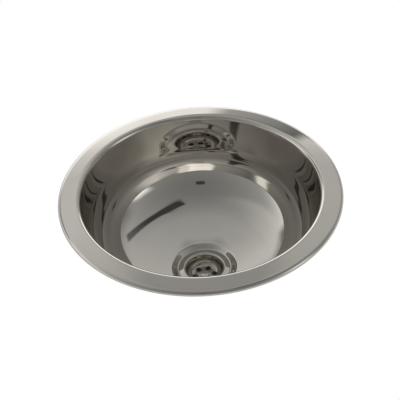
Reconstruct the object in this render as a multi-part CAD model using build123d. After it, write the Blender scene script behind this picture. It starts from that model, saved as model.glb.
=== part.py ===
from build123d import *
from math import asin, cos, degrees, radians, sin, sqrt, tan
import os

os.makedirs("parts", exist_ok=True)

# Round inset vanity basin in mirror-polished stainless steel, with its
# centre-pin waste and four claws that clamp it into a worktop.
# Millimetres, +Z up. The origin is the centre of the plane where the rim
# sits on the worktop, and the bowl hangs below it.

# Pressed bowl, sizes of the visible face
opening_radius = 131.0      # crest of the fold between rim and bowl
rim_width = 19.0            # crest to the outside of the turned-down edge
sheet = 0.9                 # stainless sheet
rim_crest = 5.0             # height of the crest above the worktop
rim_fall = 3.5              # degrees that the rim slopes down outwards
rim_roll = 4.0              # bend of the outer edge
rim_fold = 4.6              # bend from the rim into the bowl
wall_flare = 2.0            # degrees that the bowl wall leans
cove = 68.0                 # bend from the wall to the bottom
dish = 290.0                # radius of the dished bottom
bowl_depth = 116.0          # crest to the pole of the dish

# Strainer cup of the waste, sizes of the visible face
well_radius = 20.7
well_lip = 2.6
well_slope = 84.0           # degrees, side of the well
well_depth = 12.5           # lip to the drilled floor
well_cove = 8.0
cup_sheet = 0.8
cup_hole_play = 1.5         # between the cup and the hole in the bowl
cup_overlap = 6.5           # flange past the edge of that hole
cup_flange_roll = 1.0
cup_flange_fall = 8.0       # degrees that the domed flange slopes down outwards
drain_holes = 6
drain_hole = 3.1
drain_circle = 10.8
drain_first = 8.0           # degrees, first hole from +X

# Recess pressed into the bottom of the bowl for the waste
recess_margin = 7.8         # outside of the flange
recess_depth = 4.4
recess_roll = 5.0
recess_slope = 38.0         # degrees, side of the recess
recess_cove = 2.0
seat_slope = 6.0            # degrees, conical seat round the hole

# Seals, and the gap between faces that lie on each other
face_gap = 0.05
rim_seal_margin = 0.8       # foam strip starts this far outside the cut-out
top_seal_inset = 1.0        # flange covers the top seal by this much
bottom_seal = 2.0           # thickness at the hole
bottom_seal_width = 7.5

# Centre pin: slotted screw and its brass insert
pin_radius = 3.0
pin_head = 4.9
pin_head_height = 2.4
pin_head_crown = 0.9
pin_slot_width = 1.4
pin_slot_depth = 1.1
pin_tip_chamfer = 0.8
pin_end = 3.0               # screw stands this far below the insert
insert_flats = 10.0
insert_height = 6.0
insert_cover = 2.5          # plastic above the insert
thread_play = 0.05          # screw in nut
hole_play = 0.3             # shank in a plain hole

# Waste body, a plastic moulding
body_flange_height = 3.5
body_lip = 1.2              # upstand round the bottom seal
body_lip_width = 1.6
body_lip_play = 0.9         # between the seal and the upstand
body_bore_play = 0.5        # round the strainer cup
neck_wall = 4.5             # plain neck between flange and thread
neck_length = 9.0
outlet_radius = 23.9        # 1 1/2 inch male pipe thread
outlet_wall = 3.9
outlet_length = 30.0        # threaded tail
outlet_chamfer = 1.2
hub_radius = 7.4
hub_height = 13.0
arms = 3
arm_width = 3.0
arm_drop = 2.5              # arms stop this far above the end of the hub
ribs = 8
rib_width = 2.0
rib_root = 0.3              # arms and ribs run this far into the walls

# Worktop clamps
clamps = 4
cutout_margin = 9.0         # hole in the worktop, inside the rim's edge
worktop = 30.0              # thickness that the clamps are set to
clamp_travel = 16.0         # each way from that thickness
stud_offset = 3.0           # outside the opening radius
stud_radius = 3.0           # M6
stud_head = 4.2
stud_head_height = 1.2
stud_tip_chamfer = 0.8
stud_spare = 3.0            # thread left past the nut at full reach
bracket_sheet = 2.0
bracket_top = 1.8           # below the worktop's top face
bracket_drop = 10.0         # underside of the foot
bracket_bend = 3.0          # outside of the bend
bracket_play = 1.5          # inside the cut-out
bracket_half_angle = 4.6    # degrees either side of the stud
bracket_corner = 4.0
claw_sheet = 1.5
claw_width = 12.0
claw_bend = 2.2             # outside of the bends
claw_reach = 26.0           # in front of the stud
claw_height = 7.0           # over the teeth
claw_side = 3.2             # height of the sides at the stud
claw_side_start = -1.0      # where the sides begin, from the stud
claw_side_end = 9.0         # where the sides start to rise
claw_jaw = 9.0              # length of the toothed part
claw_teeth = 4
claw_tooth_depth = 1.2
washer_radius = 6.0
washer_bore_play = 0.2
washer_height = 1.6
nut_flats = 10.0
nut_height = 5.0
nut_chamfer = 30.0          # degrees
plate_gap = 0.1             # between claw, washer and nut

# Radii that follow from those sizes
rim_radius = opening_radius + rim_width
cutout_radius = rim_radius - cutout_margin
stud_circle = opening_radius + stud_offset
cup_outside = well_radius + cup_sheet
waste_hole = cup_outside + cup_hole_play
cup_flange = waste_hole + cup_overlap
recess_radius = cup_flange + recess_margin
claw_heel = claw_width / 2      # round behind the stud


def normal(angle):
    """Unit vector square to a face that climbs outwards by this many degrees."""
    return Vector(-sin(radians(angle)), cos(radians(angle)))


def downhill(angle):
    """Unit vector down that face, towards the axis."""
    return Vector(-cos(radians(angle)), -sin(radians(angle)))


class Bend:
    """A bend of the visible face: convex round a centre in the metal, or concave."""

    def __init__(self, centre, radius, convex, first, last):
        self.centre = centre
        self.radius = radius
        self.convex = convex
        self.first = first
        self.last = last

    def point(self, angle, depth=0.0):
        """Point at this depth under the visible face, where it climbs by angle."""
        if self.convex:
            return self.centre + normal(angle) * (self.radius - depth)
        return self.centre - normal(angle) * (self.radius + depth)


def skin(bends, start, end, depth):
    """Edges of the line at this depth under the visible face, from outside in."""
    edges = []
    here = start(depth)
    for bend in bends:
        first = bend.point(bend.first, depth)
        middle = bend.point((bend.first + bend.last) / 2, depth)
        last = bend.point(bend.last, depth)
        if (first - here).length > 1e-6:
            edges.append(Line(here, first))
        edges.append(ThreePointArc(first, middle, last))
        here = last
    edges.append(Line(here, end(depth)))
    return edges


def pressed(bends, start, end, thickness):
    """Sheet metal turned about the axis, from the bends of its visible face."""
    top = skin(bends, start, end, 0.0)
    under = skin(bends, start, end, thickness)
    closing = [Line(start(0.0), start(thickness)), Line(end(0.0), end(thickness))]
    return turned(top + under + closing)


def turned(edges):
    """Solid of revolution about Z from a closed outline in radius and height."""
    return revolve(Plane.XZ * make_face(edges), axis=Axis.Z)


def ring(outline):
    """Solid of revolution from straight runs between points."""
    return turned([Polyline(*outline, close=True)])


def around(count, first=0.0):
    """Turns about Z for a pattern, starting at an angle in degrees."""
    return [Rot(0, 0, first + i * 360.0 / count) for i in range(count)]


# Bowl
def rim_height(radius, depth=0.0):
    """Height of the sloping rim at a radius, or of a face at a depth under it."""
    apex = rim_crest - rim_fold + rim_fold / cos(radians(rim_fall))
    fall = (radius - opening_radius) * tan(radians(rim_fall))
    return apex - fall - depth / cos(radians(rim_fall))


roll_radius = rim_radius - rim_roll
roll_centre = Vector(roll_radius, rim_height(roll_radius, rim_roll))
edge_roll = Bend(roll_centre, rim_roll, True, -90.0, -rim_fall)
fold_centre = Vector(opening_radius, rim_crest - rim_fold)
fold_bend = Bend(fold_centre, rim_fold, True, -rim_fall, 90.0 - wall_flare)
wall_angle = fold_bend.last
pole = rim_crest - bowl_depth
dish_centre = Vector(0.0, pole + dish)


def cove_bend():
    """The cove touches the wall and the dish, so its centre is found on both."""
    start = fold_bend.point(wall_angle) + normal(wall_angle) * cove - dish_centre
    way = downhill(wall_angle)
    along = start.dot(way)
    run = -along + sqrt(along**2 - start.dot(start) + (dish - cove) ** 2)
    centre = start + way * run + dish_centre
    from_pole = centre - dish_centre
    meet = degrees(asin(from_pole.X / from_pole.length))
    return Bend(centre, cove, False, wall_angle, meet)


bottom_cove = cove_bend()
recess_lean = degrees(asin(recess_radius / dish))
bottom = Bend(dish_centre, dish, False, bottom_cove.last, recess_lean)
recess_start = bottom.point(recess_lean)
recess_edge = Bend(
    recess_start - normal(recess_lean) * recess_roll, recess_roll, True, recess_lean, recess_slope
)


def recess_foot():
    """Bend at the foot of the recess, where its side runs into the conical seat."""
    side_top = recess_edge.point(recess_slope)
    rise = side_top.Y - recess_start.Y + recess_depth
    bend_rise = recess_cove * (cos(radians(seat_slope)) - cos(radians(recess_slope)))
    run = (rise - bend_rise) / sin(radians(recess_slope))
    centre = side_top + downhill(recess_slope) * run + normal(recess_slope) * recess_cove
    return Bend(centre, recess_cove, False, recess_slope, seat_slope)


seat_bend = recess_foot()
seat_top = seat_bend.point(seat_slope)


def seat_height(radius, offset=0.0):
    """Height of the conical seat at a radius, or of a face parallel to it."""
    lift = offset / cos(radians(seat_slope))
    return seat_top.Y + (radius - seat_top.X) * tan(radians(seat_slope)) + lift


bowl = pressed(
    [edge_roll, fold_bend, bottom_cove, bottom, recess_edge, seat_bend],
    lambda depth: Vector(rim_radius - depth, 0.0),
    lambda depth: Vector(waste_hole, seat_height(waste_hole, -depth)),
    sheet,
)


def wall_outside(height):
    """Radius of the outside of the bowl wall, above the cove."""
    top = fold_bend.point(wall_angle, sheet)
    return top.X - (top.Y - height) * tan(radians(wall_flare))


# Foam strip between rim and worktop
strip_in = cutout_radius + rim_seal_margin
strip_out = roll_radius
rim_seal = ring([
    (strip_in, 0.0),
    (strip_out, 0.0),
    (strip_out, rim_height(strip_out, sheet) - face_gap),
    (strip_in, rim_height(strip_in, sheet) - face_gap),
])

# Strainer cup: a domed flange whose edge stands on the seat, and the well
flange_centre_radius = cup_flange - cup_flange_roll
flange_centre = Vector(flange_centre_radius, seat_height(cup_flange, face_gap))
flange_bend = Bend(flange_centre, cup_flange_roll, True, -90.0, -cup_flange_fall)


def flange_height(radius, depth=0.0):
    """Height of the flange's dome at a radius, or of a face at a depth under it."""
    fall = (radius - flange_centre.X) * tan(radians(cup_flange_fall))
    return flange_centre.Y + (cup_flange_roll - depth) / cos(radians(cup_flange_fall)) - fall


lip_centre_radius = well_radius + well_lip * sin(radians(well_slope))
lip_centre = Vector(lip_centre_radius, flange_height(lip_centre_radius, well_lip))
lip_bend = Bend(lip_centre, well_lip, True, -cup_flange_fall, well_slope)
floor_height = lip_centre.Y + well_lip - well_depth


def floor_bend():
    """Bend between the side of the well and its drilled floor."""
    side_top = lip_bend.point(well_slope)
    bend_rise = well_cove * (1 - cos(radians(well_slope)))
    run = (side_top.Y - floor_height - bend_rise) / sin(radians(well_slope))
    centre = side_top + downhill(well_slope) * run + normal(well_slope) * well_cove
    return Bend(centre, well_cove, False, well_slope, 0.0)


def strainer_cup():
    cup = pressed(
        [flange_bend, lip_bend, floor_bend()],
        lambda depth: flange_bend.point(-90.0, depth),
        lambda depth: Vector(pin_radius + hole_play, floor_height - depth),
        cup_sheet,
    )
    drill = Pos(drain_circle, 0, floor_height) * Cylinder(drain_hole, 4 * cup_sheet)
    for turn in around(drain_holes, drain_first):
        cup -= turn * drill
    return cup


# Top seal: a tapered ring that fills the space under the dome
seal_in = lip_bend.point(-cup_flange_fall).X
seal_out = flange_centre.X - top_seal_inset
waste_top_seal = ring([
    (seal_in, seat_height(seal_in, face_gap)),
    (seal_out, seat_height(seal_out, face_gap)),
    (seal_out, flange_height(seal_out, cup_sheet + face_gap)),
    (seal_in, flange_height(seal_in, cup_sheet + face_gap)),
])

# Bottom seal: conical against the bowl, flat on the waste body
bottom_seal_in = waste_hole + face_gap
bottom_seal_out = bottom_seal_in + bottom_seal_width
seal_base = seat_height(bottom_seal_in, -sheet) - bottom_seal
waste_bottom_seal = ring([
    (bottom_seal_in, seal_base),
    (bottom_seal_out, seal_base),
    (bottom_seal_out, seat_height(bottom_seal_out, -sheet - face_gap)),
    (bottom_seal_in, seat_height(bottom_seal_in, -sheet - face_gap)),
])

# Waste body and the pieces on the centre pin, from the top down
body_top = seal_base - face_gap
hub_top = floor_height - cup_sheet - face_gap
neck_end = body_top - body_flange_height - neck_length
outlet_end = neck_end - outlet_length
insert_top = hub_top - insert_cover
insert_base = insert_top - insert_height


def hexagon(flats, height, top):
    """Hexagonal prism hanging from a height, its corners rounded off at both ends."""
    corner = flats / sqrt(3)
    slope = tan(radians(nut_chamfer)) * (corner - flats / 2)
    prism = extrude(Pos(0, 0, top - height) * RegularPolygon(corner, 6), height)
    turning = ring([
        (0, top - height),
        (flats / 2, top - height),
        (corner, top - height + slope),
        (corner, top - slope),
        (flats / 2, top),
        (0, top),
    ])
    return prism & turning


def waste_moulding():
    bore = cup_outside + body_bore_play
    neck = bore + neck_wall
    outlet_bore = outlet_radius - outlet_wall
    lip_inside = bottom_seal_out + body_lip_play
    flange = lip_inside + body_lip_width
    flange_base = body_top - body_flange_height
    shell = ring([
        (bore, body_top),
        (lip_inside, body_top),
        (lip_inside, body_top + body_lip),
        (flange, body_top + body_lip),
        (flange, flange_base),
        (neck, flange_base),
        (neck, neck_end),
        (outlet_radius, neck_end),
        (outlet_radius, outlet_end + outlet_chamfer),
        (outlet_radius - outlet_chamfer, outlet_end),
        (outlet_bore, outlet_end),
        (outlet_bore, hub_top),
        (bore, hub_top),
    ])
    hub = Pos(0, 0, hub_top - hub_height / 2) * Cylinder(hub_radius, hub_height)
    arm_height = hub_height - arm_drop
    arm_length = outlet_bore + rib_root
    arm = Pos(arm_length / 2, 0, hub_top - arm_height / 2) * Box(arm_length, arm_width, arm_height)
    rib_outline = Plane.XZ * make_face([
        Polyline(
            (neck - rib_root, flange_base + rib_root),
            (lip_inside, flange_base + rib_root),
            (neck - rib_root, neck_end),
            close=True,
        )
    ])
    rib = extrude(rib_outline, rib_width / 2, both=True)
    half_step = 180.0 / drain_holes
    body = shell + hub
    for turn in around(arms, drain_first + half_step):
        body += turn * arm
    for turn in around(ribs):
        body += turn * rib
    pin_way = Pos(0, 0, hub_top) * Cylinder(
        pin_radius + hole_play, 2 * (hub_height + hole_play)
    )
    pocket = hexagon(insert_flats + 2 * face_gap, insert_height + 2 * face_gap, insert_top + face_gap)
    return body - pin_way - pocket


def brass_insert():
    bore = Pos(0, 0, insert_top) * Cylinder(pin_radius + thread_play, 3 * insert_height)
    return hexagon(insert_flats, insert_height, insert_top) - bore


def centre_pin():
    head_base = floor_height + face_gap
    crown_radius = (pin_head**2 + pin_head_crown**2) / (2 * pin_head_crown)
    head_top = head_base + pin_head_height
    edge = head_top - pin_head_crown
    lean = asin(pin_head / crown_radius) / 2
    crown = Vector(crown_radius * sin(lean), head_top - crown_radius * (1 - cos(lean)))
    tip = insert_base - pin_end
    pin = turned([
        Line((0, tip), (pin_radius - pin_tip_chamfer, tip)),
        Line((pin_radius - pin_tip_chamfer, tip), (pin_radius, tip + pin_tip_chamfer)),
        Line((pin_radius, tip + pin_tip_chamfer), (pin_radius, head_base)),
        Line((pin_radius, head_base), (pin_head, head_base)),
        Line((pin_head, head_base), (pin_head, edge)),
        ThreePointArc((pin_head, edge), crown, (0, head_top)),
        Line((0, head_top), (0, tip)),
    ])
    slot = Pos(0, 0, head_top) * Box(3 * pin_head, pin_slot_width, 2 * pin_slot_depth)
    return pin - slot


# Clamps, each built on the +X side and turned into place
foot_top = -bracket_drop + bracket_sheet
claw_base = -worktop - claw_height
washer_top = claw_base - plate_gap
nut_top = washer_top - washer_height - plate_gap
stud_end = nut_top - nut_height - clamp_travel - stud_spare


def bracket():
    """Curved angle bracket, its upright leg welded to the bowl wall."""
    reach = cutout_radius - bracket_play
    leg_top = wall_outside(-bracket_top) + face_gap
    leg_base = wall_outside(-bracket_drop) + face_gap
    outline = make_face([
        Polyline(
            (leg_top, -bracket_top),
            (leg_base, -bracket_drop),
            (reach, -bracket_drop),
            (reach, foot_top),
            (leg_base + bracket_sheet, foot_top),
            (leg_top + bracket_sheet, -bracket_top),
            close=True,
        )
    ])
    heel = outline.vertices().sort_by_distance((leg_base, -bracket_drop))[0]
    outline = fillet(heel, bracket_bend)
    inside = outline.vertices().sort_by_distance((leg_base + bracket_sheet, foot_top))[0]
    outline = fillet(inside, bracket_bend - bracket_sheet)
    strip = revolve(Plane.XZ * outline, axis=Axis.Z, revolution_arc=2 * bracket_half_angle)
    strip = Rot(0, 0, -bracket_half_angle) * strip
    corners = strip.edges().filter_by(Axis.Z).sort_by(Axis.X)[-2:]
    strip = fillet(corners, bracket_corner)
    hole = Pos(stud_circle, 0, foot_top) * Cylinder(stud_radius + thread_play, 3 * bracket_sheet)
    return strip - hole


def stud():
    """Weld stud: a flat head above the bracket's foot and a long M6 shank."""
    head_top = foot_top + face_gap + stud_head_height
    turned_stud = ring([
        (0, stud_end),
        (stud_radius - stud_tip_chamfer, stud_end),
        (stud_radius, stud_end + stud_tip_chamfer),
        (stud_radius, foot_top + face_gap),
        (stud_head, foot_top + face_gap),
        (stud_head, head_top),
        (0, head_top),
    ])
    return Pos(stud_circle, 0, 0) * turned_stud


def channel_section():
    """Cross-section of the claw: a channel bent from sheet, open at the top."""
    deep = 2 * claw_height
    outside = RectangleRounded(claw_width, deep, claw_bend)
    inside = RectangleRounded(
        claw_width - 2 * claw_sheet, deep - 2 * claw_sheet, claw_bend - claw_sheet
    )
    section = Pos(0, claw_height) * (outside - inside)
    return section & Pos(0, claw_height / 2) * Rectangle(claw_width, claw_height)


def claw_side_outline():
    """Side of the claw: flat heel, low sides, and a jaw with teeth."""
    pitch = claw_jaw / claw_teeth
    points = [(-claw_heel, 0), (claw_reach, 0)]
    for i in range(claw_teeth):
        tip = claw_reach - i * pitch
        points.append((tip, claw_height))
        points.append((tip - pitch, claw_height - claw_tooth_depth))
    points.append((claw_side_end, claw_side))
    points.append((claw_side_start, claw_side))
    points.append((claw_side_start + claw_sheet - claw_side, claw_sheet))
    points.append((-claw_heel, claw_sheet))
    return make_face([Polyline(*points, close=True)])


def claw():
    """Sheet channel cut to its outlines, round behind the hole for the stud."""
    length = claw_heel + claw_reach
    channel = Pos(-claw_heel, 0, 0) * extrude(Plane.YZ * channel_section(), length)
    side = extrude(Plane.XZ * claw_side_outline(), claw_width, both=True)
    front = Pos(claw_reach / 2, 0) * Rectangle(claw_reach, claw_width)
    plan = extrude(Circle(claw_heel) + front, claw_height)
    hole = Cylinder(stud_radius + hole_play, 3 * claw_sheet)
    return Pos(stud_circle, 0, claw_base) * ((channel & side & plan) - hole)


def washer():
    disc = Cylinder(washer_radius, washer_height) - Cylinder(
        stud_radius + washer_bore_play, 2 * washer_height
    )
    return Pos(stud_circle, 0, washer_top - washer_height / 2) * disc


def nut():
    bore = Pos(0, 0, nut_top) * Cylinder(stud_radius + thread_play, 3 * nut_height)
    return Pos(stud_circle, 0, 0) * (hexagon(nut_flats, nut_height, nut_top) - bore)


nodes = {
    "bowl": bowl,
    "rim_seal": rim_seal,
    "strainer_cup": strainer_cup(),
    "waste_top_seal": waste_top_seal,
    "waste_bottom_seal": waste_bottom_seal,
    "waste_body": waste_moulding(),
    "waste_insert": brass_insert(),
    "waste_screw": centre_pin(),
}
clamp_pieces = {
    "clamp_bracket": bracket(),
    "clamp_stud": stud(),
    "clamp_claw": claw(),
    "clamp_washer": washer(),
    "clamp_nut": nut(),
}
for number, turn in enumerate(around(clamps), start=1):
    for name, piece in clamp_pieces.items():
        nodes[f"{name}_{number}"] = turn * piece

for name, piece in nodes.items():
    export_step(piece, f"parts/{name}.step")
    box = piece.bounding_box()
    print(f"{name}: {piece.volume:.1f} mm3, z {box.min.Z:.2f} to {box.max.Z:.2f}")
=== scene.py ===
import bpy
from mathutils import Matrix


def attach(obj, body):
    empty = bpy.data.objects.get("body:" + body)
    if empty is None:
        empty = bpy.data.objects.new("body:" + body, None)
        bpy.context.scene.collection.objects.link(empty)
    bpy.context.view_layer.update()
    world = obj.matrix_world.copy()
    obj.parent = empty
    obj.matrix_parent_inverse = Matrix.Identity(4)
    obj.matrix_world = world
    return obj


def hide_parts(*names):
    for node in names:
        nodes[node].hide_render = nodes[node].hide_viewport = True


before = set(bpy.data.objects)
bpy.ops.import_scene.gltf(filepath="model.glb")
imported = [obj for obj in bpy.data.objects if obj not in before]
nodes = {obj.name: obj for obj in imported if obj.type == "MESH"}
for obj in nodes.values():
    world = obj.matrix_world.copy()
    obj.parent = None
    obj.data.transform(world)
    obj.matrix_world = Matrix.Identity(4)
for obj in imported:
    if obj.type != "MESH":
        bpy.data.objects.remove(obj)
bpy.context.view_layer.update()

import math

import bmesh
import bpy
from mathutils import Matrix, Vector

scene = bpy.context.scene
mm = 0.001                  # the frame is in metres, and sizes here are in millimetres
clampCount = 4
print("frame loaded,", len(nodes), "nodes")


def linearColour(hexColour):
    # the usual sRGB curve
    values = [int(hexColour[i:i + 2], 16) / 255 for i in (1, 3, 5)]
    linear = [v / 12.92 if v < 0.04045 else ((v + 0.055) / 1.055) ** 2.4 for v in values]
    return (*linear, 1.0)


def addNode(tree, kind, inputs=None, **settings):
    # an input may be a value, a socket, or a node whose first output is meant
    node = tree.nodes.new("ShaderNode" + kind)
    for name, value in settings.items():
        setattr(node, name, value)
    for socket, value in (inputs or {}).items():
        if isinstance(value, bpy.types.Node):
            value = value.outputs[0]
        if isinstance(value, bpy.types.NodeSocket):
            tree.links.new(value, node.inputs[socket])
        else:
            node.inputs[socket].default_value = value
    return node


def scaleOf(size):
    # a pattern's scale, from its size in mm
    return 1 / (size * mm)


def newFinish(name, **sockets):
    material = bpy.data.materials.new(name)
    material.use_nodes = True
    tree = material.node_tree
    shader = tree.nodes["Principled BSDF"]
    for socket, value in sockets.items():
        shader.inputs[socket].default_value = value
    return material, tree, shader, addNode(tree, "TexCoord").outputs["Object"]


# the middle part of a noise, which runs from about 0.3 to 0.7
noiseSpan = {"From Min": 0.32, "From Max": 0.68}


def patchyFinish(name, sizes, **sockets):
    # colour and roughness drift between two values each, in patches
    material, tree, shader, place = newFinish(name, **sockets)
    patch = addNode(tree, "TexNoise", {
        "Vector": place, "Scale": scaleOf(sizes["patch"]), **sizes["patchNoise"],
    })
    amount = addNode(tree, "MapRange", {"Value": patch, **noiseSpan})
    first, second = sizes["colours"]
    tint = addNode(tree, "MixRGB", {
        "Fac": amount, "Color1": linearColour(first), "Color2": linearColour(second),
    })
    smooth, dull = sizes["rough"]
    rough = addNode(tree, "MapRange", {
        "Value": patch, **noiseSpan, "To Min": smooth, "To Max": dull,
    })
    tree.links.new(tint.outputs[0], shader.inputs["Base Color"])
    tree.links.new(rough.outputs[0], shader.inputs["Roughness"])
    return material, tree, shader, place


# 304 stainless steel, mirror polished after pressing: clean reflections, a little wavy
# from the drawing, with a faint haze where water has dried
polish = {
    "colours": ("#dddad5", "#d9d6d1"), "rough": (0.012, 0.035),
    "patch": 30.0, "patchNoise": {"Detail": 5.0, "Roughness": 0.6},
    "drawWave": 42.0, "drawDepth": 0.016, "drawNoise": {"Detail": 1.0},     # long, from the press
    "wallWave": 2.2, "wallFrom": (-95.0, -60.0),        # times deeper up the wall, and where
    "peel": 5.0, "peelDepth": 0.0006, "peelNoise": {"Detail": 2.0},         # from the buffing
}
# the well of the strainer is only tumbled, so rougher, with scale spots; its darker colour is
# painted shade in the recess
well = {
    **polish, "colours": ("#c4bfb8", "#aca79f"), "rough": (0.03, 0.1),
    "patch": 7.0, "peelDepth": 0.002,
}


def polishedSteel(name, sizes):
    material, tree, shader, place = patchyFinish(name, sizes, Metallic=1.0)
    wave = addNode(tree, "TexNoise", {
        "Vector": place, "Scale": scaleOf(sizes["drawWave"]), **sizes["drawNoise"],
    })
    peel = addNode(tree, "TexNoise", {
        "Vector": place, "Scale": scaleOf(sizes["peel"]), **sizes["peelNoise"],
    })
    height = addNode(tree, "SeparateXYZ", {0: place}).outputs["Z"]
    low, high = sizes["wallFrom"]
    deeper = addNode(tree, "MapRange", {
        "Value": height, "From Min": low * mm, "From Max": high * mm,
        "To Min": 1.0, "To Max": sizes["wallWave"],
    })
    wave = addNode(tree, "Math", {0: wave, 1: deeper}, operation="MULTIPLY")
    long = addNode(tree, "Bump", {
        "Height": wave, "Strength": 1.0, "Distance": sizes["drawDepth"] * mm,
    })
    short = addNode(tree, "Bump", {
        "Height": peel, "Strength": 1.0, "Distance": sizes["peelDepth"] * mm, "Normal": long,
    })
    tree.links.new(short.outputs[0], shader.inputs["Normal"])
    return material


# the same steel as it leaves the press: dull grey, with drawing grain and lubricant stains
pressedSteel = {
    "colours": ("#bcbab7", "#b0aeaa"), "rough": (0.26, 0.34),
    "patch": 45.0, "patchNoise": {"Detail": 6.0, "Roughness": 0.65},
    "grain": 0.9, "grainDepth": 0.006, "grainNoise": {"Detail": 3.0}, "stretch": (1, 1, 0.25),
}
# 2 mm strip and M6 studs as bought: brighter, with a fine rolling grain
rolledSteel = {
    **pressedSteel, "colours": ("#c2c1be", "#aaa8a4"), "rough": (0.22, 0.36),
    "patch": 9.0, "grain": 0.5, "stretch": (0.15, 0.15, 1),
}


def millSteel(name, sizes):
    material, tree, shader, place = patchyFinish(name, sizes, Metallic=1.0)
    along = addNode(tree, "Mapping", {"Vector": place, "Scale": sizes["stretch"]})
    grain = addNode(tree, "TexNoise", {
        "Vector": along, "Scale": scaleOf(sizes["grain"]), **sizes["grainNoise"],
    })
    bump = addNode(tree, "Bump", {
        "Height": grain, "Strength": 1.0, "Distance": sizes["grainDepth"] * mm,
    })
    tree.links.new(bump.outputs[0], shader.inputs["Normal"])
    return material


# electroplated zinc with clear passivation: cool silver with faint straw and dull
# clouds, satin, with small pits from barrel plating
zinc = {
    "colour": "#c6cacd", "straw": "#c9c3a6", "dull": "#a3a8ad", "rough": (0.38, 0.2),
    "clouds": 7.0, "cloudNoise": {"Detail": 4.0},
    "strawFrom": (0.52, 0.72, 0.6), "dullFrom": (0.48, 0.3, 0.7),   # noise from, to, most
    "pits": 0.7, "pitDepth": 0.012,
}


def zincPlate():
    material, tree, shader, place = newFinish("brightZincPlate", Metallic=1.0)
    clouds = addNode(tree, "TexNoise", {
        "Vector": place, "Scale": scaleOf(zinc["clouds"]), **zinc["cloudNoise"],
    })
    tint = linearColour(zinc["colour"])
    for cloud in ("straw", "dull"):
        start, end, most = zinc[cloud + "From"]
        part = addNode(tree, "MapRange", {
            "Value": clouds, "From Min": start, "From Max": end, "To Max": most,
        })
        tint = addNode(tree, "MixRGB", {
            "Fac": part, "Color1": tint, "Color2": linearColour(zinc[cloud]),
        })
    satin, bright = zinc["rough"]
    rough = addNode(tree, "MapRange", {
        "Value": clouds, **noiseSpan, "To Min": satin, "To Max": bright,
    })
    pits = addNode(tree, "TexVoronoi", {"Vector": place, "Scale": scaleOf(zinc["pits"])})
    bump = addNode(tree, "Bump", {
        "Height": pits, "Strength": 1.0, "Distance": zinc["pitDepth"] * mm,
    })
    tree.links.new(tint.outputs[0], shader.inputs["Base Color"])
    tree.links.new(rough.outputs[0], shader.inputs["Roughness"])
    tree.links.new(bump.outputs[0], shader.inputs["Normal"])
    return material


# free-cutting brass from the lathe: rings of tool marks round the axis, some tarnish
brass = {
    "colours": ("#d9b56c", "#a98548"), "rough": (0.18, 0.34),
    "patch": 5.0, "patchNoise": {"Detail": 4.0},
    "feed": 0.25, "feedDepth": 0.008, "ringScale": 0.314,   # gives one ring for each feed
}


def turnedBrass():
    material, tree, shader, place = patchyFinish("turnedBrass", brass, Metallic=1.0)
    marks = addNode(tree, "TexWave", {
        "Vector": place, "Scale": brass["ringScale"] / (brass["feed"] * mm),
    }, wave_type="RINGS", rings_direction="Z")
    bump = addNode(tree, "Bump", {
        "Height": marks, "Strength": 1.0, "Distance": brass["feedDepth"] * mm,
    })
    tree.links.new(bump.outputs[0], shader.inputs["Normal"])
    return material


# injection-moulded polypropylene: soft white, slightly waxy, fine spark-eroded texture
plastic = {
    "colours": ("#e4e4df", "#dbdad3"), "rough": (0.36, 0.5),
    "patch": 16.0, "patchNoise": {"Detail": 3.0, "Distortion": 0.8},
    "spark": 0.6, "sparkDepth": 0.02, "sparkNoise": {"Detail": 2.0},
}


def mouldedPolypropylene():
    material, tree, shader, place = patchyFinish("mouldedWhitePolypropylene", plastic, IOR=1.49)
    spark = addNode(tree, "TexNoise", {
        "Vector": place, "Scale": scaleOf(plastic["spark"]), **plastic["sparkNoise"],
    })
    bump = addNode(tree, "Bump", {
        "Height": spark, "Strength": 1.0, "Distance": plastic["sparkDepth"] * mm,
    })
    tree.links.new(bump.outputs[0], shader.inputs["Normal"])
    return material


# compression-moulded nitrile: near-black, half matt, with a dusty bloom
rubber = {
    "colours": ("#1d1d1e", "#333333"), "rough": (0.48, 0.66),
    "patch": 8.0, "patchNoise": {"Detail": 5.0}, "skin": 0.9, "skinDepth": 0.03,
}
# closed-cell strip: dark grey open skin of cut cells about 0.8 mm across
foam = {
    "colours": ("#474748", "#2c2c2d"), "rough": (0.82, 0.95),
    "patch": 14.0, "patchNoise": {"Detail": 5.0}, "skin": 0.8, "skinDepth": 0.25,
}


def rubberSkin(name, sizes):
    material, tree, shader, place = patchyFinish(name, sizes, IOR=1.52)
    cells = addNode(tree, "TexVoronoi", {"Vector": place, "Scale": scaleOf(sizes["skin"])})
    bump = addNode(tree, "Bump", {
        "Height": cells, "Strength": 1.0, "Distance": sizes["skinDepth"] * mm,
    })
    tree.links.new(bump.outputs[0], shader.inputs["Normal"])
    return material


steelMirror = polishedSteel("mirrorPolishedStainlessSteel", polish)
# the well's steel is darker as painted shade in the recess, and rougher
shadedWellSteel = polishedSteel("wellSteelWithPaintedShade", well)
steelPressed = millSteel("drawnStainlessSteelMillFinish", pressedSteel)
steelRolled = millSteel("rolledStainlessSteel", rolledSteel)
zincBright = zincPlate()
brassTurned = turnedBrass()
plasticWhite = mouldedPolypropylene()
rubberBlack = rubberSkin("mouldedNitrileRubber", rubber)
foamStrip = rubberSkin("closedCellFoamStrip", foam)
print("finishes done")


def objectFrom(name, bm):
    mesh = bpy.data.meshes.new(name)
    bm.to_mesh(mesh)
    bm.free()
    thing = bpy.data.objects.new(name, mesh)
    scene.collection.objects.link(thing)
    return thing


def discard(thing):
    mesh = thing.data
    bpy.data.objects.remove(thing)
    bpy.data.meshes.remove(mesh)


def pieceFrom(name, bm, materials, body, replaced):
    piece = objectFrom(name, bm)
    for material in materials:
        piece.data.materials.append(material)
    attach(piece, body)
    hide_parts(replaced)
    return piece


def shade(piece, sharp):
    # smooth, with an edge wherever two faces meet at more than this many degrees
    piece.data.shade_smooth()
    piece.data.set_sharp_from_angle(angle=math.radians(sharp))


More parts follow.
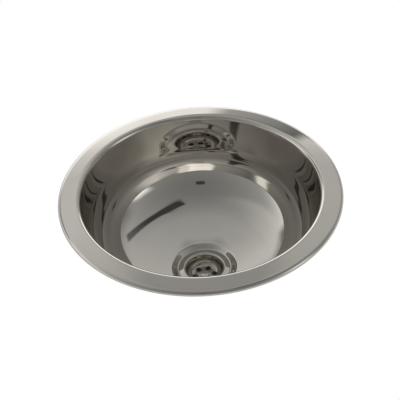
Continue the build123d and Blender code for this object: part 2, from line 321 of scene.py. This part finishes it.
def settle(piece):
    # works the piece's modifiers into its mesh
    seen = piece.evaluated_get(bpy.context.evaluated_depsgraph_get())
    finished = bpy.data.meshes.new_from_object(seen)
    old = piece.data
    piece.modifiers.clear()
    piece.data = finished
    bpy.data.meshes.remove(old)


def carve(piece, cutterShape):
    # takes the cutter's shape out of the piece
    cutter = objectFrom("cutter", cutterShape)
    cut = piece.modifiers.new("cut", "BOOLEAN")
    cut.object, cut.operation, cut.solver = cutter, "DIFFERENCE", "EXACT"
    settle(piece)
    discard(cutter)


def softenEdges(piece, width, chosen):
    bm = bmesh.new()
    bm.from_mesh(piece.data)
    edges = [edge for edge in bm.edges if edge.is_manifold and chosen(edge)]
    bmesh.ops.bevel(
        bm, geom=edges, offset=width * mm, offset_type="OFFSET", affect="EDGES",
        segments=2, profile=0.5, material=-1, clamp_overlap=True,
    )
    bm.to_mesh(piece.data)
    bm.free()


# metres: points nearer than this become one, on turned shapes, CAD skins and cut threads
joinWithin = {"turned": 1e-7, "skin": 2e-7, "thread": 2e-6}
stepTurn = 6                # degrees of an arc that one edge may span
flatWithin = 0.4            # degrees between triangles that are one flat face


def drawProfile(bm, start, heading, moves, fine=2.0):
    # a pen that draws a section in the XZ plane: "run" goes straight on by mm, "bend" with
    # "turn" goes round an arc of that radius, and "turn" alone is a corner; left is positive,
    # and no edge is longer than fine, in mm
    here = bm.verts.new((start[0] * mm, 0, start[1] * mm))
    for move in moves:
        way = Vector((math.cos(math.radians(heading)), 0, math.sin(math.radians(heading))))
        turn = move.get("turn", 0.0)
        if "run" in move:
            steps = max(1, math.ceil(move["run"] / fine))
            for _ in range(steps):
                here = bmesh.ops.extrude_vert_indiv(bm, verts=[here])["verts"][0]
                here.co += way * (move["run"] * mm / steps)
        elif "bend" in move:
            left = Vector((-way.z, 0, way.x)) * math.copysign(1, turn)
            arc = math.radians(abs(turn)) * move["bend"]
            steps = max(math.ceil(abs(turn) / stepTurn), math.ceil(arc / fine))
            grown = bmesh.ops.spin(
                bm, geom=[here], cent=here.co + left * move["bend"] * mm, axis=(0, -1, 0),
                angle=math.radians(turn), steps=steps,
            )
            here = next(v for v in grown["geom_last"] if isinstance(v, bmesh.types.BMVert))
        heading += turn
    return here


def tidySkin(bm):
    bmesh.ops.remove_doubles(bm, verts=bm.verts, dist=joinWithin["turned"])
    bmesh.ops.recalc_face_normals(bm, faces=bm.faces)


def spinProfile(bm, steps):
    bmesh.ops.spin(
        bm, geom=list(bm.verts) + list(bm.edges), cent=(0, 0, 0), axis=(0, 0, 1),
        angle=2 * math.pi, steps=steps, use_merge=True,
    )
    tidySkin(bm)


def faceUp(bm):
    # an open sheet is turned so that its highest face looks up
    highest = max(bm.faces, key=lambda face: face.calc_center_median().z)
    if highest.normal.z < 0:
        bmesh.ops.reverse_faces(bm, faces=bm.faces)


def helix(bm, outline, pitch, turns, steps):
    # a closed outline screwed up round the Z axis, as a closed coil
    corners = [bm.verts.new((r * mm, 0, z * mm)) for r, z in outline]
    face = bm.faces.new(corners)
    bmesh.ops.spin(
        bm, geom=[face] + list(face.edges) + list(face.verts), cent=(0, 0, 0), axis=(0, 0, 1),
        dvec=(0, 0, pitch * mm / steps), angle=2 * math.pi * turns, steps=round(turns * steps),
    )
    tidySkin(bm)


def cadShape(nodeName):
    # a CAD node's triangles joined into one skin, its flat faces whole
    bm = bmesh.new()
    bm.from_mesh(nodes[nodeName].data)
    bmesh.ops.remove_doubles(bm, verts=bm.verts, dist=joinWithin["skin"])
    bmesh.ops.dissolve_limit(
        bm, angle_limit=math.radians(flatWithin), verts=bm.verts, edges=bm.edges,
    )
    layers = bm.loops.layers.float_vector
    for layer in [layer for layer in layers.values() if "normal" in layer.name]:
        layers.remove(layer)
    return bm


# mm and degrees from here on; around is in faces, and sharp is for shading
bowlSizes = {
    "edge": (150.0, 0.0), "around": 240, "sheet": 0.9, "sharp": 50,
    "path": [
        {"run": 0.084},
        {"bend": 4.0, "turn": 86.5},        # rolled edge
        {"run": 14.991},                    # rim, falling 3.5 degrees outwards
        {"bend": 4.6, "turn": 91.5},        # fold
        {"run": 38.488},                    # wall, leaning 2 degrees
        {"bend": 68.0, "turn": -73.095},    # cove
        {"bend": 290.0, "turn": -7.515},    # dish
        {"bend": 5.0, "turn": 30.61},       # edge of the recess
        {"run": 4.822},
        {"bend": 2.0, "turn": -32.0},
        {"run": 7.082},                     # conical seat of the waste
    ],
}


def sheetPiece(name, sizes, materials, replaced):
    # a section drawn from its outer edge inwards, spun, and given the sheet's thickness
    bm = bmesh.new()
    drawProfile(bm, sizes["edge"], 90.0, sizes["path"])
    spinProfile(bm, sizes["around"])
    faceUp(bm)
    piece = pieceFrom(name, bm, materials, "basin", replaced)
    wall = piece.modifiers.new("sheet", "SOLIDIFY")
    wall.thickness = sizes["sheet"] * mm
    wall.offset = -1.0
    wall.material_offset = 1
    wall.material_offset_rim = 1
    settle(piece)
    return piece


def pressedBowl():
    bowl = sheetPiece("pressedBowl", bowlSizes, [steelMirror, steelPressed], "bowl")
    shade(bowl, bowlSizes["sharp"])


pressedBowl()
print("bowl done")

cupSizes = {
    "edge": (29.5, -112.998), "around": 128, "sheet": 0.8, "sharp": 50,
    "path": [
        {"bend": 1.0, "turn": 82.0},
        {"run": 5.041},                     # domed flange, falling 8 degrees outwards
        {"bend": 2.6, "turn": 92.0},        # lip
        {"run": 3.025},
        {"bend": 8.0, "turn": -84.0},
        {"run": 9.127},                     # drilled floor
    ],
    # under the second height the cup takes the well steel: rougher, and darker as painted shade
    "floor": -123.781, "shadedAndDullBelow": -114.6,
    "holes": {
        "count": 6, "radius": 3.1, "circle": 10.8, "first": 8.0, "rounding": 0.28,
        "around": 48, "over": 1.0,
    },
}


def roundedDrill(holes):
    # a drill that leaves both edges of a hole rounded over, standing on the Z axis
    rounding, over = holes["rounding"], holes["over"]
    wide = holes["radius"] + rounding
    bm = bmesh.new()
    last = drawProfile(bm, (0.0, cupSizes["floor"] - cupSizes["sheet"] - over), 0.0, [
        {"run": wide}, {"turn": 90.0}, {"run": over}, {"turn": 90.0},
        {"bend": rounding, "turn": -90.0}, {"run": cupSizes["sheet"] - 2 * rounding},
        {"bend": rounding, "turn": -90.0},
        {"turn": 90.0}, {"run": over}, {"turn": 90.0}, {"run": wide},
    ], fine=10)
    last.co.x = 0.0
    spinProfile(bm, holes["around"])
    return bm


def strainerCup():
    cup = sheetPiece("strainerCup", cupSizes, [steelMirror, shadedWellSteel], "strainer_cup")
    holes = cupSizes["holes"]
    for i in range(holes["count"]):
        angle = math.radians(holes["first"] + i * 360 / holes["count"])
        outwards = Vector((math.cos(angle), math.sin(angle), 0))
        drill = roundedDrill(holes)
        bmesh.ops.translate(drill, vec=outwards * holes["circle"] * mm, verts=drill.verts)
        carve(cup, drill)
    # below the lip the cup takes the well steel, whose darker colour is painted shade
    for face in cup.data.polygons:
        face.material_index = 0 if face.center.z > cupSizes["shadedAndDullBelow"] * mm else 1
    shade(cup, cupSizes["sharp"])


strainerCup()
print("strainer cup done")

pinSizes = {
    "tip": (0.0, -136.131), "top": -121.331, "head": 3.0, "around": 48, "sharp": 35,
    "path": [
        {"run": 2.2}, {"turn": 45.0}, {"run": 1.131}, {"turn": 45.0},
        {"run": 11.6}, {"turn": -90.0},     # shank
        {"run": 1.7}, {"bend": 0.2, "turn": 90.0},
        {"run": 0.86}, {"bend": 0.5, "turn": 69.2},
        {"bend": 13.79, "turn": 20.8},      # crowned head
    ],
    "slot": (12.0, 1.4, 1.1),               # long, wide and deep
    "slotEdge": 0.12, "slotCorner": 0.9,    # mm; turns by more than these radians
    "clearOfFloor": 0.05, "nearSide": 0.01,
}


def centrePin():
    bm = bmesh.new()
    last = drawProfile(bm, pinSizes["tip"], 0.0, pinSizes["path"], fine=1.0)
    last.co.x = 0.0
    drawnTop = last.co.z
    for v in bm.verts:      # the head is set to its height, and the shank stays
        if v.co.z > drawnTop - pinSizes["head"] * mm:
            v.co.z += pinSizes["top"] * mm - drawnTop
    spinProfile(bm, pinSizes["around"])
    pin = pieceFrom("centrePin", bm, [steelMirror], "basin", "waste_screw")
    long, wide, deep = pinSizes["slot"]
    slot = bmesh.new()
    bmesh.ops.create_cube(
        slot, size=1, matrix=Matrix.Translation((0, 0, pinSizes["top"] * mm))
        @ Matrix.Diagonal((long * mm, wide * mm, 2 * deep * mm, 1)),
    )
    carve(pin, slot)
    floor = (pinSizes["top"] - deep) * mm

    def onSlot(v):
        # on a side of the slot, above its floor
        offSide = abs(abs(v.co.y) - wide * mm / 2)
        above = v.co.z > floor + pinSizes["clearOfFloor"] * mm
        return above and offSide < pinSizes["nearSide"] * mm

    def slotRim(edge):
        return edge.calc_face_angle(0) > pinSizes["slotCorner"] and all(map(onSlot, edge.verts))

    softenEdges(pin, pinSizes["slotEdge"], slotRim)
    shade(pin, pinSizes["sharp"])


centrePin()
print("centre pin done")

# a thread's groove is a trapezium that reaches a little outside the shank
grooveOver = 0.35           # of its depth
grooveWidest = 0.49         # of the pitch to each side, so that its turns stay apart


def threadCutter(sizes):
    lean = (sizes["pitch"] - sizes["crest"] - sizes["root"]) / 2 / sizes["depth"]
    inside = sizes["radius"] - sizes["depth"]
    outside = sizes["radius"] + grooveOver * sizes["depth"]
    halfIn = sizes["root"] / 2
    halfOut = min(halfIn + lean * (outside - inside), grooveWidest * sizes["pitch"])
    z = sizes["start"]
    groove = [
        (inside, z - halfIn), (outside, z - halfOut), (outside, z + halfOut), (inside, z + halfIn),
    ]
    cutter = bmesh.new()
    helix(cutter, groove, sizes["pitch"], sizes["turns"], sizes["steps"])
    return cutter


# male thread of the outlet, 11 to the inch, cut into a copy of the moulding
mouldingSizes = {
    "sharp": 35,
    "thread": {
        "radius": 23.9, "depth": 1.2, "pitch": 2.309, "crest": 0.45, "root": 0.5,
        "start": -160.5, "turns": 12, "steps": 72,
    },
}


def wasteMoulding():
    moulding = pieceFrom(
        "wasteMoulding", cadShape("waste_body"), [plasticWhite], "basin",
        "waste_body",
    )
    carve(moulding, threadCutter(mouldingSizes["thread"]))
    shade(moulding, mouldingSizes["sharp"])


wasteMoulding()
print("waste body done")

# M6 coarse, with rounded-off crests as on a rolled thread
studSizes = {
    "circle": 134.0, "end": -62.8, "around": 32, "sharp": 25,
    "path": [
        {"run": 2.2}, {"turn": 45.0}, {"run": 1.131}, {"turn": 45.0},
        {"run": 54.05}, {"turn": -90.0},
        {"run": 1.0}, {"bend": 0.2, "turn": 90.0},
        {"run": 0.7}, {"bend": 0.3, "turn": 90.0},      # flat weld head
        {"run": 3.9},
    ],
    "thread": {
        "radius": 3.0, "depth": 0.55, "pitch": 1.0, "crest": 0.22, "root": 0.16,
        "start": -64.4, "turns": 55, "steps": 24,
    },
}


def studShape():
    bm = bmesh.new()
    last = drawProfile(bm, (0.0, studSizes["end"]), 0.0, studSizes["path"], fine=60)
    last.co.x = 0.0
    spinProfile(bm, studSizes["around"])
    blank = objectFrom("studBlank", bm)
    carve(blank, threadCutter(studSizes["thread"]))
    shape = bmesh.new()
    shape.from_mesh(blank.data)
    bmesh.ops.remove_doubles(shape, verts=shape.verts, dist=joinWithin["thread"])
    discard(blank)
    return shape


def weldStud(i, turn, shape):
    place = turn @ Matrix.Translation((studSizes["circle"] * mm, 0, 0))
    stud = shape.copy()
    bmesh.ops.transform(stud, matrix=place, verts=stud.verts)
    piece = pieceFrom(
        f"weldStud.{i}", stud, [steelRolled], "basin", f"clamp_stud_{i}",
    )
    shade(piece, studSizes["sharp"])


# spot welds on the upright leg of each bracket: shallow round dents
bracketSizes = {
    "sharp": 20, "face": 129.1, "height": -4.9, "across": 2.5,      # across in degrees
    "dent": 1.7, "depth": 0.16, "around": (96, 64),
}


def clampBracket(i, turn):
    bracket = pieceFrom(
        f"clampBracket.{i}", cadShape(f"clamp_bracket_{i}"), [steelRolled], "basin",
        f"clamp_bracket_{i}",
    )
    dent, depth = bracketSizes["dent"], bracketSizes["depth"]
    ball = (dent ** 2 + depth ** 2) / (2 * depth)
    outwards = (bracketSizes["face"] + ball - depth) * mm
    slices, rings = bracketSizes["around"]
    dents = bmesh.new()
    for side in (-1, 1):
        aside = Matrix.Rotation(math.radians(side * bracketSizes["across"]), 4, "Z")
        centre = turn @ aside @ Vector((outwards, 0, bracketSizes["height"] * mm))
        bmesh.ops.create_uvsphere(
            dents, u_segments=slices, v_segments=rings, radius=ball * mm,
            matrix=Matrix.Translation(centre),
        )
    carve(bracket, dents)
    shade(bracket, bracketSizes["sharp"])


# zinc-plated parts, with the edges that tumbling breaks
platedSizes = {
    "sharp": 35, "corner": 0.6,             # corner in radians
    "edge": {"clamp_claw": 0.22, "clamp_washer": 0.15, "clamp_nut": 0.12},
}


def platedPiece(name, kind, body, i):
    piece = pieceFrom(
        f"{name}.{i}", cadShape(f"{kind}_{i}"), [zincBright], f"{body}_{i}",
        f"{kind}_{i}",
    )
    corner = platedSizes["corner"]
    softenEdges(piece, platedSizes["edge"][kind], lambda edge: edge.calc_face_angle(0) > corner)
    shade(piece, platedSizes["sharp"])


def clamps():
    shape = studShape()
    for i in range(1, clampCount + 1):
        turn = Matrix.Rotation(math.radians((i - 1) * 360 / clampCount), 4, "Z")
        clampBracket(i, turn)
        weldStud(i, turn, shape)
        platedPiece("clampClaw", "clamp_claw", "claw", i)
        platedPiece("clampWasher", "clamp_washer", "washer", i)
        platedPiece("clampNut", "clamp_nut", "nut", i)
    shape.free()


clamps()
print("clamps done")

# rings that are right as they come: they only take their finish
carriedOver = {
    "rim_seal": foamStrip, "waste_top_seal": rubberBlack, "waste_bottom_seal": rubberBlack,
    "waste_insert": brassTurned,
}
for nodeName, material in carriedOver.items():
    nodes[nodeName].material_slots[0].material = material
print("seals and insert done")

# metres, degrees, and mm of lens
viewpoint = {
    "aim": (0.0, 0.0, 0.0044), "distance": 1.048, "elevation": 40.64, "roll": -3.36,
    "lens": 89.62, "sensor": 36.0, "shift": (0.00025, -0.02725), "nearest": 0.01,
}


def placeCamera():
    data = bpy.data.cameras.new("camera")
    camera = bpy.data.objects.new("camera", data)
    scene.collection.objects.link(camera)
    lift = math.radians(viewpoint["elevation"])
    back = Vector((0, -math.cos(lift), math.sin(lift)))
    level = (-back).to_track_quat("-Z", "Y").to_matrix()
    turn = level @ Matrix.Rotation(math.radians(viewpoint["roll"]), 3, "Z")
    place = Matrix.Translation(Vector(viewpoint["aim"]) + back * viewpoint["distance"])
    camera.matrix_world = place @ turn.to_4x4()
    data.lens = viewpoint["lens"]
    data.sensor_width = viewpoint["sensor"]
    data.shift_x, data.shift_y = viewpoint["shift"]
    data.clip_start = viewpoint["nearest"]
    scene.camera = camera


placeCamera()
scene.view_settings.view_transform = "Standard"
# light goes round the bowl many times, and none of it is dropped early, which leaves grain
scene.cycles.max_bounces = 40
scene.cycles.glossy_bounces = 36
scene.cycles.min_light_bounces = 16
print("camera done")


def emptyTree(block):
    block.use_nodes = True
    block.node_tree.nodes.clear()
    return block.node_tree


# round white top that the rim lies on; its face glows for the camera, which keeps it white
# while its paint still takes the rim's shadow, and shows in the steel at a lower share
topSizes = {
    "hole": 141.0, "radius": 190.0, "forward": 25.0, "thickness": 3.0, "undercut": 5.2,
    "around": 256, "holeAround": 192,
    "paint": "#f2f2f0", "glow": 1.08, "cameraShare": 0.9, "mirrorShare": 0.2,
}


def whitePaint(name, cameraShare, mirrorShare):
    material = bpy.data.materials.new(name)
    tree = emptyTree(material)
    rays = addNode(tree, "LightPath").outputs
    mirrored = addNode(tree, "Math", {
        0: rays["Is Glossy Ray"], 1: rays["Is Transmission Ray"],
    }, operation="MAXIMUM")
    share = addNode(tree, "Math", {0: mirrored, 1: mirrorShare}, operation="MULTIPLY")
    share = addNode(tree, "Math", {
        0: rays["Is Camera Ray"], 1: cameraShare, 2: share,
    }, operation="MULTIPLY_ADD")
    paint = addNode(tree, "BsdfDiffuse", {"Color": linearColour(topSizes["paint"])})
    glow = addNode(tree, "Emission", {"Color": (1, 1, 1, 1), "Strength": topSizes["glow"]})
    mix = addNode(tree, "MixShader", {0: share, 1: paint, 2: glow})
    addNode(tree, "OutputMaterial", {"Surface": mix})
    return material


def whiteTop():
    radius, thickness = topSizes["radius"], topSizes["thickness"]
    bm = bmesh.new()
    bmesh.ops.create_cone(
        bm, cap_ends=True, segments=topSizes["around"],
        radius1=(radius - topSizes["undercut"]) * mm, radius2=radius * mm, depth=thickness * mm,
        matrix=Matrix.Translation((0, -topSizes["forward"] * mm, -thickness / 2 * mm)),
    )
    top = objectFrom("whiteTop", bm)
    hole = bmesh.new()
    bmesh.ops.create_cone(
        hole, cap_ends=True, segments=topSizes["holeAround"], radius1=topSizes["hole"] * mm,
        radius2=topSizes["hole"] * mm, depth=4 * thickness * mm,
    )
    carve(top, hole)
    face = whitePaint("whiteTopFace", topSizes["cameraShare"], topSizes["mirrorShare"])
    top.data.materials.append(face)
    top.data.materials.append(whitePaint("whiteTopEdge", 0.0, 0.0))
    for polygon in top.data.polygons:       # what looks up is the face, the rest is edge
        polygon.material_index = 0 if polygon.normal.z > 0.5 else 1


# the pipe below the waste has no light in it: a black backdrop under the hub stands for that
drainSizes = {"radius": 19.8, "height": -139.0, "around": 64, "colour": "#0a0a0a"}


def darkDrain():
    bm = bmesh.new()
    bmesh.ops.create_circle(
        bm, cap_ends=True, segments=drainSizes["around"], radius=drainSizes["radius"] * mm,
        matrix=Matrix.Translation((0, 0, drainSizes["height"] * mm)),
    )
    drain = objectFrom("darkDrain", bm)
    material = bpy.data.materials.new("unlitDrain")
    tree = emptyTree(material)
    black = addNode(tree, "BsdfDiffuse", {"Color": linearColour(drainSizes["colour"])})
    addNode(tree, "OutputMaterial", {"Surface": black})
    drain.data.materials.append(material)


# plain soft light: an even level that changes slowly along each axis, with soft boxes that
# add light and flags that take it, all in degrees; bearing runs clockwise from the back, and
# a box that leans moves by so many degrees of bearing for each degree of height; a batten is
# a straight bar, square to its pole; horizon and under are the Z of a direction
studio = {
    "base": 0.515, "across": -0.025, "back": 0.22, "up": -0.22, "darkest": 0.05,
    "side": 0.6, "below": 0.15, "under": (-0.45, -0.75), "horizon": -0.15,
    "tint": "#fffefa", "matt": 1.7,
    "panels": [     # bearing, wide, height, tall, soft, lean, adds
        (-82, 46, 16.0, 28, 38, 0.9, 0.46),
        (-53, 83, 44.5, 27, 38, -1.9, 0.16),
        (-45, 37, 27.5, 16, 12, 0.8, -0.6),
        (112, 20, 15.5, 18, 12, 0.6, 0.9),
        (112, 60, 69.0, 10, 10, -0.5, -0.14),
        (-7, 60, 20.5, 24, 9, -0.45, 0.52),
        (3, 40, 17.5, 18, 8, -0.4, 0.55),
        (45, 105, 12.5, 36, 22, -0.25, -0.24),
        (-12, 10, 30.5, 8, 3, -2.0, 0.25),
        (6, 17, 31.5, 8, 4, -2.2, -0.62),
        (0, 22, 51.0, 16, 6, 0.0, -0.13),
        (181, 10, 40.0, 6, 4, 0.0, -0.2),
    ],
    "battens": [
        {
            "bearing": 76, "height": 60, "pole": (-49, 18), "offset": 1.2,
            "long": 51, "wide": 9, "soft": 4, "adds": -0.3,
        },
    ],
}


def towards(bearing, height):
    bearing, height = math.radians(bearing), math.radians(height)
    flat = math.cos(height)
    return (math.sin(bearing) * flat, math.cos(bearing) * flat, math.sin(height))


# for a panel or batten: how soft it is, what it adds, and how far a direction is from its
# middle, with its size, both ways
def panelShape(tree, panel, bearing, height):
    middle, wide, centre, tall, soft, lean, adds = panel
    above = addNode(tree, "Math", {0: height, 1: centre}, operation="SUBTRACT")
    aside = addNode(tree, "Math", {0: bearing, 1: middle}, operation="SUBTRACT")
    aside = addNode(tree, "Math", {0: above, 1: -lean, 2: aside}, operation="MULTIPLY_ADD")
    aside = addNode(tree, "Math", {0: aside, 1: -180.0, 2: 180.0}, operation="WRAP")
    return soft, adds, ((aside, wide), (above, tall))


def battenShape(tree, batten, direction):
    along = addNode(tree, "VectorMath", {
        0: direction, 1: towards(batten["bearing"], batten["height"]),
    }, operation="DOT_PRODUCT").outputs["Value"]
    along = addNode(tree, "Math", {0: along}, operation="ARCCOSINE")
    along = addNode(tree, "Math", {0: along}, operation="DEGREES")
    across = addNode(tree, "VectorMath", {
        0: direction, 1: towards(*batten["pole"]),
    }, operation="DOT_PRODUCT").outputs["Value"]
    across = addNode(tree, "Math", {0: across}, operation="ARCSINE")
    across = addNode(tree, "Math", {0: across}, operation="DEGREES")
    across = addNode(tree, "Math", {0: across, 1: batten["offset"]}, operation="ADD")
    ways = ((along, batten["long"]), (across, batten["wide"]))
    return batten["soft"], batten["adds"], ways


def studioWorld():
    world = bpy.data.worlds.new("studio")
    scene.world = world
    tree = emptyTree(world)
    direction = addNode(tree, "TexCoord").outputs["Generated"]
    axes = addNode(tree, "SeparateXYZ", {0: direction}).outputs
    rise = addNode(tree, "Math", {0: axes["Z"]}, operation="ABSOLUTE")
    level = studio["base"]
    for axis, slope in ((axes["X"], "across"), (axes["Y"], "back"), (rise, "up")):
        level = addNode(tree, "Math", {
            0: axis, 1: studio[slope], 2: level,
        }, operation="MULTIPLY_ADD")
    bearing = addNode(tree, "Math", {0: axes["X"], 1: axes["Y"]}, operation="ARCTAN2")
    bearing = addNode(tree, "Math", {0: bearing}, operation="DEGREES")
    height = addNode(tree, "Math", {0: axes["Z"]}, operation="ARCSINE")
    height = addNode(tree, "Math", {0: height}, operation="DEGREES")
    shapes = [panelShape(tree, panel, bearing, height) for panel in studio["panels"]]
    shapes += [battenShape(tree, batten, direction) for batten in studio["battens"]]
    for soft, adds, ways in shapes:
        mask = adds
        for away, size in ways:
            edge = addNode(tree, "MapRange", {
                "Value": addNode(tree, "Math", {0: away}, operation="ABSOLUTE"),
                "From Min": (size + soft) / 2, "From Max": (size - soft) / 2,
            }, interpolation_type="SMOOTHSTEP")
            mask = addNode(tree, "Math", {0: edge, 1: mask}, operation="MULTIPLY")
        level = addNode(tree, "Math", {0: mask, 1: level}, operation="ADD")
    level = addNode(tree, "Math", {0: level, 1: studio["darkest"]}, operation="MAXIMUM")
    # below the horizon: open light at the sides, dark straight down
    start, end = studio["under"]
    floorward = addNode(tree, "MapRange", {
        "Value": axes["Z"], "From Min": start, "From Max": end,
        "To Min": studio["side"], "To Max": studio["below"],
    })
    under = addNode(tree, "MapRange", {
        "Value": axes["Z"], "From Min": 0.0, "From Max": studio["horizon"],
    })
    level = addNode(tree, "Mix", {0: under, 2: level, 3: floorward})
    # lamps that matt surfaces feel and mirrors don't show
    rays = addNode(tree, "LightPath").outputs
    gain = addNode(tree, "MapRange", {
        "Value": rays["Is Diffuse Ray"], "To Min": 1.0, "To Max": studio["matt"],
    })
    level = addNode(tree, "Math", {0: level, 1: gain}, operation="MULTIPLY")
    light = addNode(tree, "Background", {"Color": linearColour(studio["tint"]), "Strength": level})
    white = addNode(tree, "Background", {"Color": (1, 1, 1, 1), "Strength": 1.0})
    mix = addNode(tree, "MixShader", {0: rays["Is Camera Ray"], 1: light, 2: white})
    addNode(tree, "OutputWorld", {"Surface": mix})


whiteTop()
darkDrain()
studioWorld()
print("stage and light done")
